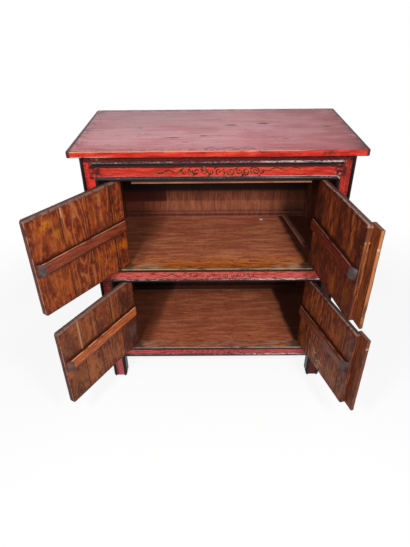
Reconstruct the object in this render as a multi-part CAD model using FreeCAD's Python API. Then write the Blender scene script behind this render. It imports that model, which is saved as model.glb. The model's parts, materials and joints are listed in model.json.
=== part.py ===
import FreeCAD, Part
import math
import os

# Chinese wedding cabinet: a post and rail case with four plank doors that turn on
# wooden pins. Millimetres. X runs to the right, Y to the back, Z up. The origin is
# on the floor, at the centre of the rectangle that the outer faces of the posts make.

# Overall sizes
body_width = 942.0
body_depth = 493.0
side_overhang = 29.0
front_overhang = 29.0
rear_overhang = 8.0

# Heights of the front frame, from the floor up
foot_height = 118.0
bottom_rail_height = 53.0
lower_opening_height = 354.0
middle_rail_height = 62.0
upper_opening_height = 367.0
top_rail_height = 95.0

# Top
top_thickness = 22.0
top_arris = 3.0
top_corner_radius = 9.0
top_board_count = 3

# Posts
post_width = 59.0
post_depth = 44.0
rear_post_width = 50.0
foot_taper_width = 9.0
foot_taper_height = 23.0
foot_taper_belly_share = 0.3

# Raised beads of the front frame
bead_width = 15.0
bead_rise = 5.0
edge_bead_width = 12.0
opening_corner_radius = 1.0
apron_bead_drop = 24.0
apron_bead_reach = 18.0

# Side and back frames
side_rail_thickness = 30.0
side_recess = 4.0
back_rail_thickness = 30.0
back_recess = 2.0
frame_top_rail_height = 60.0
frame_middle_rail_rise = 25.0
frame_middle_rail_height = 64.0
frame_bottom_rail_rise = 14.0

# Mortise and tenon joints
tenon_thickness = 14.0
slim_tenon_thickness = 12.0
tenon_shoulder = 10.0
front_tenon_length = 30.0
side_tenon_length = 22.0
back_tenon_length = 22.0

# Panels and back boards, held in grooves
panel_thickness = 10.0
groove_depth = 8.0
panel_play = 1.0
back_board_count = 4

# Shelves and what carries them
shelf_thickness = 14.0
shelf_board_count = 3
upper_shelf_drop = 2.0
lower_shelf_drop = 13.0
shelf_housing = 8.0
bearer_width = 40.0
upper_bearer_height = 36.0
lower_bearer_height = 24.0
top_batten_height = 30.0
stub_tenon_length = 10.0
stub_tenon_inset = 8.0
bearer_place_share = 0.32
top_batten_place_share = 0.5

# Doors
door_thickness = 20.0
door_hinge_gap = 2.0
door_top_gap = 3.0
door_bottom_gap = 2.0
door_face_gap = 0.6
left_door_short_of_middle = 2.0
right_door_short_of_middle = 36.0
left_pivot_inset = 36.0
right_pivot_inset = 30.0
door_corner_radius = 10.0
door_arris = 2.0
hinge_arris = 4.0
pin_radius = 6.0
pin_play = 0.05
foot_pin_length = 14.0
head_pin_length = 18.0
pin_end_play = 0.1
head_socket_extra = 2.0

# Battens that hold the door boards together
batten_height = 46.0
batten_projection = 17.0
batten_bevel_depth = 5.0
batten_bevel_height = 9.0
batten_end_inset = 5.0
batten_hinge_slope = 10.0
batten_free_slope = 26.0
dovetail_depth = 5.0
dovetail_neck = 26.0
dovetail_flare = 3.0
lower_batten_rise = 14.0

# Strips on the meeting edges of the right doors
strip_width = 59.0
strip_reach = 42.0
strip_thickness = 13.0
strip_arris = 4.0
strip_relief = 0.6

# Strip under the top rail that the upper doors close against
stop_left_clearance = 31.0
stop_right_clearance = 14.0
stop_height = 18.0
stop_depth = 12.0
stop_gap = 0.4

# Opening angles of the doors as they stand, in degrees
upper_left_angle = 126.0
lower_left_angle = 121.0
upper_right_angle = 99.6
lower_right_angle = 106.8

# Joints between the boards of each door, as shares of its width from the hinge edge
board_joint_shares = {
    "upper_left": (0.15, 0.41, 0.68),
    "lower_left": (0.23, 0.55, 0.76),
    "upper_right": (0.17, 0.35, 0.73),
    "lower_right": (0.17, 0.43, 0.86),
}

overrun = 20.0

# Places worked out from the sizes above
half_width = body_width / 2
front_y = -body_depth / 2
rear_y = body_depth / 2
field_y = front_y + bead_rise
rail_back_y = front_y + post_depth
opening_x = half_width - post_width
lower_opening_z = foot_height + bottom_rail_height
middle_rail_z = lower_opening_z + lower_opening_height
upper_opening_z = middle_rail_z + middle_rail_height
top_rail_z = upper_opening_z + upper_opening_height
case_height = top_rail_z + top_rail_height
overall_height = case_height + top_thickness

rear_post_x = half_width - rear_post_width
rear_post_y = rear_y - post_depth
side_rail_x = half_width - side_recess - side_rail_thickness
back_rail_y = rear_y - back_recess - back_rail_thickness
frame_top_z = case_height - frame_top_rail_height
frame_middle_top_z = upper_opening_z + frame_middle_rail_rise
frame_middle_z = frame_middle_top_z - frame_middle_rail_height
frame_bottom_top_z = lower_opening_z + frame_bottom_rail_rise

upper_shelf_z = upper_opening_z - upper_shelf_drop
lower_shelf_z = lower_opening_z - lower_shelf_drop
bearer_x = opening_x * bearer_place_share
top_batten_x = opening_x * top_batten_place_share

door_front_y = field_y + door_face_gap
pivot_y = door_front_y + door_thickness / 2
left_door_width = opening_x - door_hinge_gap - left_door_short_of_middle
right_door_width = opening_x - door_hinge_gap - right_door_short_of_middle
head_socket_depth = head_pin_length + head_socket_extra - door_top_gap
foot_socket_depth = foot_pin_length + pin_end_play - door_bottom_gap


def point(x, y, z):
    return FreeCAD.Vector(x, y, z)


def block(x0, x1, y0, y1, z0, z1):
    return Part.makeBox(x1 - x0, y1 - y0, z1 - z0, point(x0, y0, z0))


def other_side(shape):
    return shape.mirror(point(0, 0, 0), point(1, 0, 0))


def prism(points, direction):
    outline = Part.makePolygon(points + points[:1])
    return Part.Face(outline).extrude(direction)


def fused(first, others):
    return first.fuse(others).removeSplitter()


def runs_along(edge, axis):
    return abs(getattr(edge.tangentAt(edge.FirstParameter), axis)) > math.cos(math.pi / 4)


def save(name, shape):
    shape.exportStep(os.path.join("parts", name + ".step"))


# Beads

def bead_section(centre_x, z):
    # Half-round section standing on the field of the frame, across a run along Z
    half = bead_width / 2
    left = point(centre_x - half, field_y, z)
    crest = point(centre_x, front_y, z)
    right = point(centre_x + half, field_y, z)
    round_edge = Part.Arc(left, crest, right).toShape()
    return Part.Wire([round_edge, Part.makeLine(right, left)])


def bead_ring(z0, z1):
    # One bead that goes round an opening, with rounded corners
    half = bead_width / 2
    radius = opening_corner_radius + half
    right = opening_x + half
    low = z0 - half
    high = z1 + half
    diagonal = radius * (1 - math.cos(math.pi / 4))
    corner = {}
    for side in (-1, 1):
        for end, reach in ((low, -1), (high, 1)):
            flank = point(side * right, field_y, end - reach * radius)
            middle = point(side * (right - diagonal), field_y, end - reach * diagonal)
            across = point(side * (right - radius), field_y, end)
            corner[side, reach] = (flank, middle, across)
    edges = [
        Part.makeLine(corner[1, -1][0], corner[1, 1][0]),
        Part.Arc(*corner[1, 1]).toShape(),
        Part.makeLine(corner[1, 1][2], corner[-1, 1][2]),
        Part.Arc(*reversed(corner[-1, 1])).toShape(),
        Part.makeLine(corner[-1, 1][0], corner[-1, -1][0]),
        Part.Arc(*corner[-1, -1]).toShape(),
        Part.makeLine(corner[-1, -1][2], corner[1, -1][2]),
        Part.Arc(*reversed(corner[1, -1])).toShape(),
    ]
    path = Part.Wire(edges)
    section = bead_section(right, corner[1, -1][0].z)
    return path.makePipeShell([section], True, False)


def straight_bead(x0, x1, z0):
    # Bead along X whose lower edge lies at z0
    middle = z0 + bead_width / 2
    low = point(x0, field_y, z0)
    crest = point(x0, front_y, middle)
    high = point(x0, field_y, z0 + bead_width)
    section = Part.Wire([Part.Arc(low, crest, high).toShape(), Part.makeLine(high, low)])
    return Part.Face(section).extrude(point(x1 - x0, 0, 0))


def mitre_wedge(side, z0, z1):
    # Space of a post's share of a bead ring, cut off at 45 degrees in the corners
    inner = opening_x - post_width
    outer = opening_x + post_width
    run = post_width
    corners = [
        point(side * inner, 0, z0 + run),
        point(side * outer, 0, z0 - run),
        point(side * outer, 0, z1 + run),
        point(side * inner, 0, z1 - run),
    ]
    return prism([p + point(0, front_y - overrun, 0) for p in corners], point(0, post_depth, 0))


def post_share(side, ring, z0, z1):
    return ring.common(mitre_wedge(side, z0, z1))


def rail_share(ring, z0, z1, low_edge):
    rest = ring.cut([mitre_wedge(-1, z0, z1), mitre_wedge(1, z0, z1)])
    middle = (z0 + z1) / 2
    if low_edge:
        keep = block(-half_width, half_width, front_y - overrun, 0, z0 - overrun, middle)
    else:
        keep = block(-half_width, half_width, front_y - overrun, 0, middle, z1 + overrun)
    return rest.common(keep)


# The third ring goes round the open space between the feet. Its lower run would lie
# far below the floor and is cut away there.
openings = [
    (upper_opening_z, top_rail_z),
    (lower_opening_z, middle_rail_z),
    (-foot_height, foot_height),
]
upper_ring, lower_ring, foot_ring = [bead_ring(*span) for span in openings]


# Joints cut alike in both of the pieces that meet

def front_tenon(side, z0, z1):
    middle = (field_y + rail_back_y) / 2
    half = tenon_thickness / 2
    inner, outer = sorted((side * opening_x, side * (opening_x + front_tenon_length)))
    return block(inner, outer, middle - half, middle + half, z0 + tenon_shoulder, z1 - tenon_shoulder)


def side_tenon(side, y0, y1, z0, z1):
    middle = side * (side_rail_x + side_rail_thickness / 2)
    half = slim_tenon_thickness / 2
    return block(middle - half, middle + half, y0, y1, z0 + tenon_shoulder, z1 - tenon_shoulder)


def back_tenon(side, z0, z1):
    middle = back_rail_y + back_rail_thickness / 2
    half = slim_tenon_thickness / 2
    inner, outer = sorted((side * rear_post_x, side * (rear_post_x + back_tenon_length)))
    return block(inner, outer, middle - half, middle + half, z0 + tenon_shoulder, z1 - tenon_shoulder)


front_rail_spans = {
    "front_bottom_rail": (foot_height, lower_opening_z),
    "front_middle_rail": (middle_rail_z, upper_opening_z),
    "front_top_rail": (top_rail_z, case_height),
}
frame_rail_spans = {
    "bottom_rail": (foot_height, frame_bottom_top_z),
    "middle_rail": (frame_middle_z, frame_middle_top_z),
    "top_rail": (frame_top_z, case_height),
}
panel_spans = {
    "lower": (frame_bottom_top_z, frame_middle_z),
    "upper": (frame_middle_top_z, frame_top_z),
}


def side_panel(side, span, reach):
    # A side panel, or the grooves that hold it when the reach is the groove's depth
    middle = side * (side_rail_x + side_rail_thickness / 2)
    half = panel_thickness / 2
    z0, z1 = span
    return block(
        middle - half, middle + half,
        rail_back_y - reach, rear_post_y + reach,
        z0 - reach, z1 + reach,
    )


def back_panel(span, reach):
    middle = back_rail_y + back_rail_thickness / 2
    half = panel_thickness / 2
    z0, z1 = span
    return block(
        -rear_post_x - reach, rear_post_x + reach,
        middle - half, middle + half,
        z0 - reach, z1 + reach,
    )


def side_grooves(side):
    return [side_panel(side, span, groove_depth) for span in panel_spans.values()]


def back_grooves():
    return [back_panel(span, groove_depth) for span in panel_spans.values()]


# Posts

def foot_taper(x, inward, y0):
    # What is cut from one side of a foot, where it draws in towards the floor
    low = point(x + inward * foot_taper_width, y0, 0)
    high = point(x, y0, foot_taper_height)
    belly = point(
        x + inward * foot_taper_width * foot_taper_belly_share,
        y0,
        foot_taper_height * foot_taper_belly_share,
    )
    outside = point(x - inward * overrun, y0, foot_taper_height)
    below = point(x - inward * overrun, y0, -overrun)
    under = point(x + inward * foot_taper_width, y0, -overrun)
    edges = [
        Part.Arc(low, belly, high).toShape(),
        Part.makeLine(high, outside),
        Part.makeLine(outside, below),
        Part.makeLine(below, under),
        Part.makeLine(under, low),
    ]
    return Part.Face(Part.Wire(edges)).extrude(point(0, post_depth + overrun, 0))


def edge_bead():
    # Rounded bead down the outer arris of the right front post
    inner = half_width - edge_bead_width
    left = point(inner, field_y, 0)
    crest = point(half_width - edge_bead_width / 2, front_y, 0)
    right = point(half_width, field_y, 0)
    section = Part.Wire([Part.Arc(left, crest, right).toShape(), Part.makeLine(right, left)])
    return Part.Face(section).extrude(point(0, 0, case_height))


def front_post():
    body = block(opening_x, half_width, field_y, rail_back_y, 0, case_height)
    shares = [
        post_share(1, upper_ring, *openings[0]),
        post_share(1, lower_ring, *openings[1]),
        post_share(1, foot_ring, *openings[2]),
    ]
    below_floor = block(0, body_width, front_y - overrun, 0, -body_depth, 0)
    post = fused(body, [edge_bead()] + shares).cut(below_floor)
    cuts = [front_tenon(1, *span) for span in front_rail_spans.values()]
    for span in frame_rail_spans.values():
        cuts.append(side_tenon(1, rail_back_y - side_tenon_length, rail_back_y, *span))
    cuts += side_grooves(1)
    cuts += [
        foot_taper(half_width, -1, front_y - overrun / 2),
        foot_taper(opening_x, 1, front_y - overrun / 2),
    ]
    return post.cut(cuts)


def rear_post():
    post = block(rear_post_x, half_width, rear_post_y, rear_y, 0, case_height)
    cuts = [back_tenon(1, *span) for span in frame_rail_spans.values()]
    for span in frame_rail_spans.values():
        cuts.append(side_tenon(1, rear_post_y, rear_post_y + side_tenon_length, *span))
    cuts += side_grooves(1) + back_grooves()
    cuts += [
        foot_taper(half_width, -1, rear_post_y - overrun / 2),
        foot_taper(rear_post_x, 1, rear_post_y - overrun / 2),
    ]
    return post.cut(cuts)


# Bearers and battens that run from front to back between the rails

def cross_body(x, top_z, height):
    half = bearer_width / 2
    return block(x - half, x + half, rail_back_y, back_rail_y, top_z - height, top_z)


def cross_tenon(x, top_z, height):
    half = bearer_width / 2 - stub_tenon_inset
    return block(
        x - half, x + half,
        rail_back_y - stub_tenon_length, back_rail_y + stub_tenon_length,
        top_z - height / 2, top_z - stub_tenon_inset / 2,
    )


cross_pieces = {
    "upper_shelf_bearers": (bearer_x, upper_shelf_z - shelf_thickness, upper_bearer_height),
    "lower_shelf_bearers": (bearer_x, lower_shelf_z - shelf_thickness, lower_bearer_height),
    "top_battens": (top_batten_x, case_height, top_batten_height),
}


def cross_pair(name):
    x, top_z, height = cross_pieces[name]
    return [
        fused(cross_body(side * x, top_z, height), [cross_tenon(side * x, top_z, height)])
        for side in (-1, 1)
    ]


def cross_sockets(name):
    x, top_z, height = cross_pieces[name]
    return [cross_tenon(side * x, top_z, height) for side in (-1, 1)]


# Door pins and their sockets

def pivot_x(side):
    inset = left_pivot_inset if side < 0 else right_pivot_inset
    return side * (opening_x - door_hinge_gap - inset)


def socket(side, z, depth):
    radius = pin_radius + pin_play
    return Part.makeCylinder(radius, depth, point(pivot_x(side), pivot_y, z))


def sockets_above(z):
    # Sockets in the underside of a rail, over an opening that ends at z
    return [socket(side, z, head_socket_depth) for side in (-1, 1)]


def sockets_below(z):
    return [socket(side, z - foot_socket_depth, foot_socket_depth) for side in (-1, 1)]


# Rails of the front frame

def front_rail(name, beads, cuts):
    span = front_rail_spans[name]
    body = block(-opening_x, opening_x, field_y, rail_back_y, *span)
    tenons = [front_tenon(side, *span) for side in (-1, 1)]
    return fused(body, beads + tenons).cut(cuts)


def front_top_rail():
    bead_z = case_height - apron_bead_drop - bead_width
    reach = opening_x + apron_bead_reach
    beads = [
        rail_share(upper_ring, *openings[0], False),
        straight_bead(-reach, reach, bead_z),
    ]
    cuts = sockets_above(top_rail_z) + cross_sockets("top_battens")
    return front_rail("front_top_rail", beads, cuts)


def front_middle_rail():
    beads = [
        rail_share(upper_ring, *openings[0], True),
        rail_share(lower_ring, *openings[1], False),
    ]
    cuts = sockets_below(upper_opening_z) + sockets_above(middle_rail_z)
    cuts += cross_sockets("upper_shelf_bearers")
    return front_rail("front_middle_rail", beads, cuts)


def front_bottom_rail():
    beads = [
        rail_share(lower_ring, *openings[1], True),
        rail_share(foot_ring, *openings[2], False),
    ]
    cuts = sockets_below(lower_opening_z) + cross_sockets("lower_shelf_bearers")
    return front_rail("front_bottom_rail", beads, cuts)


# Rails of the sides and the back

def side_rail(name):
    span = frame_rail_spans[name]
    outer = side_rail_x + side_rail_thickness
    body = block(side_rail_x, outer, rail_back_y, rear_post_y, *span)
    tenon = side_tenon(1, rail_back_y - side_tenon_length, rear_post_y + side_tenon_length, *span)
    return fused(body, [tenon]).cut(side_grooves(1) + [shelf_space(z) for z in shelf_levels.values()])


def back_rail(name):
    span = frame_rail_spans[name]
    body = block(-rear_post_x, rear_post_x, back_rail_y, back_rail_y + back_rail_thickness, *span)
    tenons = [back_tenon(side, *span) for side in (-1, 1)]
    cuts = back_grooves()
    for other in cross_pieces:
        cuts += cross_sockets(other)
    return fused(body, tenons).cut(cuts)


# Shelves

shelf_levels = {"upper": upper_shelf_z, "lower": lower_shelf_z}


def shelf_space(top_z):
    reach = side_rail_x + shelf_housing
    return block(-reach, reach, rail_back_y, back_rail_y, top_z - shelf_thickness, top_z)


def shelf_boards(top_z):
    whole = shelf_space(top_z)
    for side in (-1, 1):
        inner, outer = sorted((side * rear_post_x, side * half_width))
        whole = whole.cut(block(inner, outer, rear_post_y, rear_y, 0, case_height))
    width = (back_rail_y - rail_back_y) / shelf_board_count
    boards = []
    for number in range(shelf_board_count):
        y0 = rail_back_y + number * width
        slot = block(-half_width, half_width, y0, y0 + width, 0, case_height)
        boards.append(whole.common(slot))
    return boards


# Back boards, side by side in one groove

def back_boards(span):
    whole = back_panel(span, groove_depth - panel_play)
    reach = rear_post_x + groove_depth
    width = 2 * reach / back_board_count
    boards = []
    for number in range(back_board_count):
        x0 = -reach + number * width
        slot = block(x0, x0 + width, 0, rear_y, 0, case_height)
        boards.append(whole.common(slot))
    return boards


# Top

def top_boards():
    x = half_width + side_overhang
    y0 = front_y - front_overhang
    y1 = rear_y + rear_overhang
    slab = block(-x, x, y0, y1, case_height, overall_height)
    upright = [e for e in slab.Edges if runs_along(e, "z")]
    slab = slab.makeFillet(top_corner_radius, upright)
    rims = [e for e in slab.Edges if e.BoundBox.ZLength < top_arris]
    slab = slab.makeFillet(top_arris, rims)
    depth = (y1 - y0) / top_board_count
    boards = []
    for number in range(top_board_count):
        start = y0 + number * depth
        boards.append(slab.common(block(-x, x, start, start + depth, 0, overall_height)))
    return boards


# Doors. Each is built shut, as a left door, then swung open; a right door is its mirror.

open_angles = {
    "upper_left": upper_left_angle,
    "lower_left": lower_left_angle,
    "upper_right": upper_right_angle,
    "lower_right": lower_right_angle,
}


def leaf(width, height):
    # Rounded slab of a shut left door, with its hinge edge at x = 0 and its foot at z = 0
    slab = block(0, width, 0, door_thickness, 0, height)
    free_corners = [e for e in slab.Edges if runs_along(e, "y") and e.BoundBox.XMin > width / 2]
    slab = slab.makeFillet(door_corner_radius, free_corners)
    hinge_edges = [e for e in slab.Edges if runs_along(e, "z") and e.BoundBox.XMax < width / 2]
    slab = slab.makeFillet(hinge_arris, hinge_edges)
    rims = [
        e for e in slab.Edges
        if e.BoundBox.YLength < door_arris and e.BoundBox.XMax > width / 2
    ]
    return slab.makeFillet(door_arris, rims)


def door_boards(name, width, height):
    slab = leaf(width, height)
    joints = [0] + [share * width for share in board_joint_shares[name]] + [width]
    boards = []
    for start, end in zip(joints, joints[1:]):
        boards.append(slab.common(block(start, end, 0, door_thickness, 0, height)))
    return boards


def dovetail():
    # Outline of the tongue, from its upper neck round to its lower neck
    neck = dovetail_neck / 2
    root = neck + dovetail_flare
    face = door_thickness
    return [(face, neck), (face - dovetail_depth, root), (face - dovetail_depth, -root), (face, -neck)]


def along_door(section, width, height, rise):
    # Runs a section, given as depth and height from the batten's middle, across the door
    middle = height / 2 + rise
    corners = [point(batten_end_inset, y, middle + z) for y, z in section]
    return prism(corners, point(width - 2 * batten_end_inset, 0, 0))


def batten(width, height, rise):
    # Batten across the inner face, with its dovetail tongue let into the boards
    half = batten_height / 2
    face = door_thickness
    crest = face + batten_projection
    shoulder = crest - batten_bevel_depth
    ridge = half - batten_bevel_height
    section = dovetail() + [
        (face, -half), (shoulder, -half), (crest, -ridge),
        (crest, ridge), (shoulder, half), (face, half),
    ]
    body = along_door(section, width, height, rise)
    start = batten_end_inset
    end = width - batten_end_inset
    slopes = [
        [(start, face), (start + batten_hinge_slope, crest), (start, crest)],
        [(end, face), (end, crest), (end - batten_free_slope, crest)],
    ]
    cuts = [prism([point(x, y, 0) for x, y in corners], point(0, 0, height)) for corners in slopes]
    return body.cut(cuts)


def pins(inset, height):
    middle = door_thickness / 2
    foot = Part.makeCylinder(
        pin_radius, foot_pin_length + pin_radius, point(inset, middle, -foot_pin_length)
    )
    head = Part.makeCylinder(
        pin_radius, head_pin_length + pin_radius, point(inset, middle, height - pin_radius)
    )
    return [foot, head]


def meeting_strip(width, height):
    # Strip on the outer face, past the meeting edge, clear of the left door's face
    x0 = width - (strip_width - strip_reach)
    x1 = width + strip_reach
    outline = block(x0, x1, -strip_thickness, 0, 0, height)
    outer_edges = [
        e for e in outline.Edges
        if runs_along(e, "z") and e.BoundBox.YMax < -strip_thickness / 2
    ]
    strip = outline.makeFillet(strip_arris, outer_edges)
    return strip.cut(block(width, x1, -strip_relief, 0, 0, height))


def door(name):
    level, hand = name.split("_")
    width = left_door_width if hand == "left" else right_door_width
    inset = left_pivot_inset if hand == "left" else right_pivot_inset
    upper = level == "upper"
    z0, z1 = openings[0] if upper else openings[1]
    height = z1 - z0 - door_top_gap - door_bottom_gap
    rise = 0 if upper else lower_batten_rise
    groove = along_door(dovetail(), width, height, rise)
    boards = [board.cut(groove) for board in door_boards(name, width, height)]
    pieces = {
        name + "_hinge_stile": fused(boards[0], pins(inset, height)),
        name + "_inner_board": boards[1],
        name + "_centre_board": boards[2],
        name + "_meeting_board": boards[3],
        name + "_batten": batten(width, height, rise),
    }
    if hand == "right":
        pieces[name + "_meeting_strip"] = meeting_strip(width, height)
    place = point(-opening_x + door_hinge_gap, door_front_y, z0 + door_bottom_gap)
    axis = point(place.x + inset, pivot_y, 0)
    angle = open_angles[name]
    swung = {}
    for piece, shape in pieces.items():
        shape = shape.translated(place)
        shape = shape.rotated(axis, point(0, 0, 1), -angle)
        swung[piece] = other_side(shape) if hand == "right" else shape
    return swung


# Strip behind the upper doors

def hinge_swing(inset):
    # How far the hinge edge reaches from its pin as the door turns
    return math.hypot(inset, door_thickness / 2)


def door_stop():
    front = door_front_y + door_thickness + stop_gap
    x0 = pivot_x(-1) + hinge_swing(left_pivot_inset) + stop_left_clearance
    x1 = pivot_x(1) - hinge_swing(right_pivot_inset) - stop_right_clearance
    return block(x0, x1, front, front + stop_depth, top_rail_z - stop_height, top_rail_z)


os.makedirs("parts", exist_ok=True)

for board_name, board in zip(("top_front_board", "top_middle_board", "top_rear_board"), top_boards()):
    save(board_name, board)

right_front = front_post()
right_rear = rear_post()
save("front_right_post", right_front)
save("front_left_post", other_side(right_front))
save("rear_right_post", right_rear)
save("rear_left_post", other_side(right_rear))

save("front_top_rail", front_top_rail())
save("front_middle_rail", front_middle_rail())
save("front_bottom_rail", front_bottom_rail())

for rail in frame_rail_spans:
    right_rail = side_rail(rail)
    save("right_" + rail, right_rail)
    save("left_" + rail, other_side(right_rail))
    save("back_" + rail, back_rail(rail))

for level_name, level_span in panel_spans.items():
    right_panel = side_panel(1, level_span, groove_depth - panel_play)
    save("right_" + level_name + "_panel", right_panel)
    save("left_" + level_name + "_panel", other_side(right_panel))
    save(level_name + "_back_boards", Part.makeCompound(back_boards(level_span)))

for level_name, level_z in shelf_levels.items():
    names = [level_name + place for place in ("_shelf_front_board", "_shelf_middle_board", "_shelf_rear_board")]
    for board_name, board in zip(names, shelf_boards(level_z)):
        save(board_name, board)

for pair_name in cross_pieces:
    save(pair_name, Part.makeCompound(cross_pair(pair_name)))

save("door_stop", door_stop())

for door_name in open_angles:
    for piece_name, piece_shape in door(door_name).items():
        save(piece_name, piece_shape)
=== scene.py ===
import json
import math
from types import SimpleNamespace

import bpy
import numpy as np
from mathutils import Matrix, Vector


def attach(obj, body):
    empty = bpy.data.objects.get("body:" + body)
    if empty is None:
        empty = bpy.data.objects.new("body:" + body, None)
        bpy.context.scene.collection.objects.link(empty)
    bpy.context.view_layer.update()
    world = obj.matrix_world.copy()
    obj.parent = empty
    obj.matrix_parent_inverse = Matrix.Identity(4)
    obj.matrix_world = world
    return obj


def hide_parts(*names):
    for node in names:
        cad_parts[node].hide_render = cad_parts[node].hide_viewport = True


# A worn red and black lacquered Chinese wedding cabinet with its four plank doors open.
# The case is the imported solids. The doors' boards, battens and strips, the planks of the top
# and the painted scrolls are worked out here, uneven and worn as hand work is. All sizes are
# in millimetres until a mesh is made.

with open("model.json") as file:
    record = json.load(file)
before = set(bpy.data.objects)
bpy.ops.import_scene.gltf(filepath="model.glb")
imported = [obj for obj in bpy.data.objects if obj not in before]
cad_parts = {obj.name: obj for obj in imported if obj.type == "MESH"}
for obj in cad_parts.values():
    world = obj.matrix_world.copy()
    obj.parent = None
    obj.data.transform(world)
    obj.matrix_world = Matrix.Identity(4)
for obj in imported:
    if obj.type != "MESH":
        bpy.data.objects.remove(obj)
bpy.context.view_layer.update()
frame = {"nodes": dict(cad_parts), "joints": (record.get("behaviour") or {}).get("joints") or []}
nodes = frame["nodes"]

MM = 0.001
FIELD_Y = -241.5  # red field of the front frame
DOORS = ("upper_left", "lower_left", "upper_right", "lower_right")
BOARDS = ("hinge_stile", "inner_board", "centre_board", "meeting_board")

# Doors, shut, in mm: x from the pin towards the free edge, y from the pin into the case, z up
DOOR_HEIGHTS = {"upper": (589, 951), "lower": (173, 522)}
DOOR_EDGES = {"left": (-36, 372), "right": (-30, 344)}
JOINT_SHARES = {  # where the joints between a door's boards lie, as shares of its width
    "upper_left": (0.15, 0.41, 0.68), "lower_left": (0.23, 0.55, 0.76),
    "upper_right": (0.17, 0.35, 0.73), "lower_right": (0.17, 0.43, 0.86),
}
HALF_DOOR = 10  # of a door's thickness
BATTEN_MIDDLES = {"upper": 770, "lower": 361.5}
BATTEN_INSET = 5                    # how far its ends stay back from the door's edges
BATTEN_SLOPES = (10 / 17, 26 / 17)  # how its hinge end and free end slope, per mm of projection
STRIP_SPAN = (327, 386)
STRIP_FACES = (-23, -10)
JOINT_GAP = 0.25
HINGE_ARRIS = 4
PIN_RADIUS = 6
PIN_REACH = (14, 18)  # below and above the door
PIN_ROOT = 6          # how far inside its stile a pin starts

# Top: how far it reaches left and right, its front and rear edges, its joints and its faces
TOP_REACH = 500
TOP_EDGES = (-275.5, 254.5)
TOP_JOINTS = (-98.8, 77.8)
TOP_FACES = (1049, 1071)
# Knocks along the front edge: place along, face, side, depth, reach
TOP_NICKS = (
    (30, 1, 0, 2.5, 14), (212, 1, 0, 1.2, 8), (355, 1, 0, 1.6, 6), (610, 1, 0, 1.2, 20),
    (858, 1, 0, 2.4, 12), (905, 0, 0, 2, 18), (60, 0, 0, 3, 30), (960, 1, 0, 2, 16),
)
# Painted rows. Tail: where it starts, begins to lift and ends. Vine: from where to where.
# Curls: place, radius, turns, start. Leaves: place, rise, span, bend
SCROLL_TAIL = (-218, -141, -106)
SCROLL_VINE = (150, 290)
SCROLL_CURLS = (
    (-114, 9, 1, 2.6), (-96, 10, -1.2, 0.8), (-74, 12, 1.2, 3), (-48, 12, -1.1, 1.2), (-23, 11, 1.2, 2.4),
    (4, 11, -1, 4.6), (22, 8, 0.9, 1.2), (46, 14, 1.3, 2.9), (73, 11, -1.2, 0.6), (96, 14, 1.4, 3),
    (116, 8, -0.9, 1), (132, 13, -1.4, 2.2), (152, 8, 0.9, 4),
)
SCROLL_LEAVES = (
    (-104, 11, 14, 0.4), (-86, -11, 14, 2), (-60, 12, 14, 1), (-36, -11, 14, 0.4), (-12, 12, 12, 2),
    (14, -12, 14, 1.2), (58, 12, 14, 0.4), (82, -12, 14, 1.4), (112, 11, 14, 2), (140, -11, 14, 0.6),
)
TOP_DENTS = (  # deeper dents in the top: place across and along the grain, half sizes
    (-130, -167, 6, 32), (-112, -50, 5, 15), (19, 56, 7, 27), (36, 178, 8, 23),
    (-180, -109, 4, 11), (-150, 240, 5, 14), (-10, -288, 5, 12), (-4, 416, 6, 16),
)
# Arched traces of old paint near the top's front edge: middle and half width of each arch
TOP_TRACES = ((-21, 24), (39, 27), (94, 28))
TRACE_CREST = -241  # how far forward they reach
TRACE_RISE = 19     # from foot to crest
TOP_FLARE = (5, 3)  # how far the top's front runs out past its back, left and right
BACK_JOINTS = (-214.5, 0, 214.5)
STOP_SHADOW = (940, 942)  # the stop is painted dark above this height, the shadow under the top rail


def door_joints(door):
    """Places of a door's board joints and its two edges, from the hinge side on."""
    start, end = DOOR_EDGES[door.split("_")[1]]
    return [start] + [start + share * (end - start) for share in JOINT_SHARES[door]] + [end]


def door_swing(door):
    """Hand, angle and pin of a door as it stands."""
    joint = next(j for j in frame["joints"] if j["name"].startswith(door))
    hand = 1 if door.endswith("left") else -1
    angle = -math.radians(joint["range_deg"][0])
    pin = (hand * joint["pos_m"][0] / MM, joint["pos_m"][1] / MM)
    return hand, angle, pin


# Shapes

def ripple(u, v, size, seed):
    """Unevenness between -1 and 1: the mean of six sine waves that cross the u, v plane in
    seeded directions, about size mm from crest to crest."""
    draw = np.random.default_rng(seed)
    total = 0
    for turn, length, phase in draw.uniform(0, 1, (6, 3)):
        across = u * math.cos(turn * 6) + v * math.sin(turn * 6)
        total = total + np.sin(math.tau * (across / (size * (0.6 + length)) + phase))
    return total / 6


def loft(rings, inside_out=False):
    """Skin over a row of closed rings: a four-sided face from each ring's edge to the next
    ring's, and one face over the first and the last ring. Gives points and faces."""
    stations, count = rings.shape[:2]
    grid = np.arange(stations * count).reshape(stations, count)
    here, ahead = grid[:-1], grid[1:]
    sides = np.stack([here, np.roll(here, -1, 1), np.roll(ahead, -1, 1), ahead], -1).reshape(-1, 4)
    faces = sides.tolist() + [grid[0][::-1].tolist(), grid[-1].tolist()]
    if inside_out:
        faces = [face[::-1] for face in faces]
    return rings.reshape(-1, 3), faces


def link(name, data):
    thing = bpy.data.objects.new(name, data)
    bpy.context.scene.collection.objects.link(thing)
    return thing


def make(name, solids, material, body, slot, *stands_for):
    """One piece from closed skins given in mm."""
    points = np.concatenate([skin[0] for skin in solids]) * MM
    faces = []
    start = 0
    for skin_points, skin_faces in solids:
        faces += [[corner + start for corner in face] for face in skin_faces]
        start += len(skin_points)
    mesh = bpy.data.meshes.new(name)
    mesh.from_pydata(points, [], faces)
    mesh.polygons.foreach_set("use_smooth", np.ones(len(faces), bool))
    mesh.materials.append(material)
    piece = link(name, mesh)
    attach(piece, body)
    if stands_for:
        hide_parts(*stands_for)


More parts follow.
